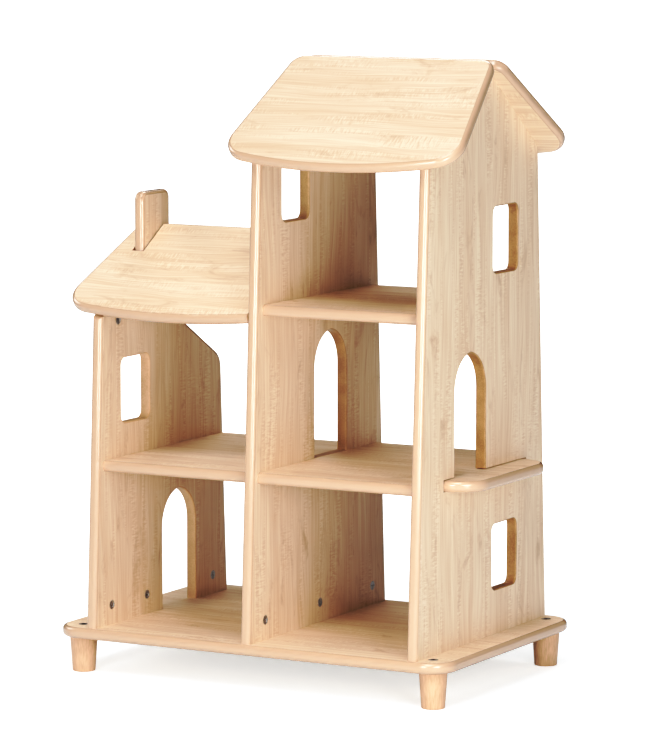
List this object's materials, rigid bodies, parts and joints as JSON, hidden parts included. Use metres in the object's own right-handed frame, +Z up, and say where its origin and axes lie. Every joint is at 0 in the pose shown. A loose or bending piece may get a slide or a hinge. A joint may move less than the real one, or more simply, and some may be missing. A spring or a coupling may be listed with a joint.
{
  "type": "wooden dollhouse",
  "caption": "Open wooden dollhouse: a tall tower with a pitched roof beside a lower wing with a lean-to roof and chimney, with shelf floors, windows, pointed doorways, balcony and legs.",
  "frame": {"origin": "on the floor, under the middle of the base board", "axes": "+X to the right along the front, wing on the left and tower on the right; +Y from the front to the back; +Z up"},
  "size_m": [0.7138, 0.476, 0.9969],
  "materials": {
    "maple_board": "pale maple, clear satin lacquer",
    "beech": "turned beech, clear satin lacquer",
    "zinc_cam": "die-cast zinc, dull",
    "steel_bolt": "zinc-plated steel",
    "brass_insert": "turned, plain"
  },
  "bodies": {
    "root": {"base_board": "maple_board", "left_wall": "maple_board", "middle_wall": "maple_board", "right_wall": "maple_board", "wing_shelf": "maple_board", "tower_lower_shelf": "maple_board", "tower_upper_shelf": "maple_board", "tower_roof_front": "maple_board", "tower_roof_back": "maple_board", "wing_roof": "maple_board", "leg_front_left": "beech", "leg_front_right": "beech", "leg_back_left": "beech", "leg_back_right": "beech", "base_dowels": "beech", "shelf_dowels": "beech", "roof_dowels": "beech", "base_cams": "zinc_cam", "shelf_cams": "zinc_cam", "roof_cams": "zinc_cam", "base_cam_bolts": "steel_bolt", "shelf_cam_bolts": "steel_bolt", "roof_cam_bolts": "steel_bolt", "leg_bolts": "steel_bolt", "leg_inserts": "brass_insert"}
  },
  "joints": []
}
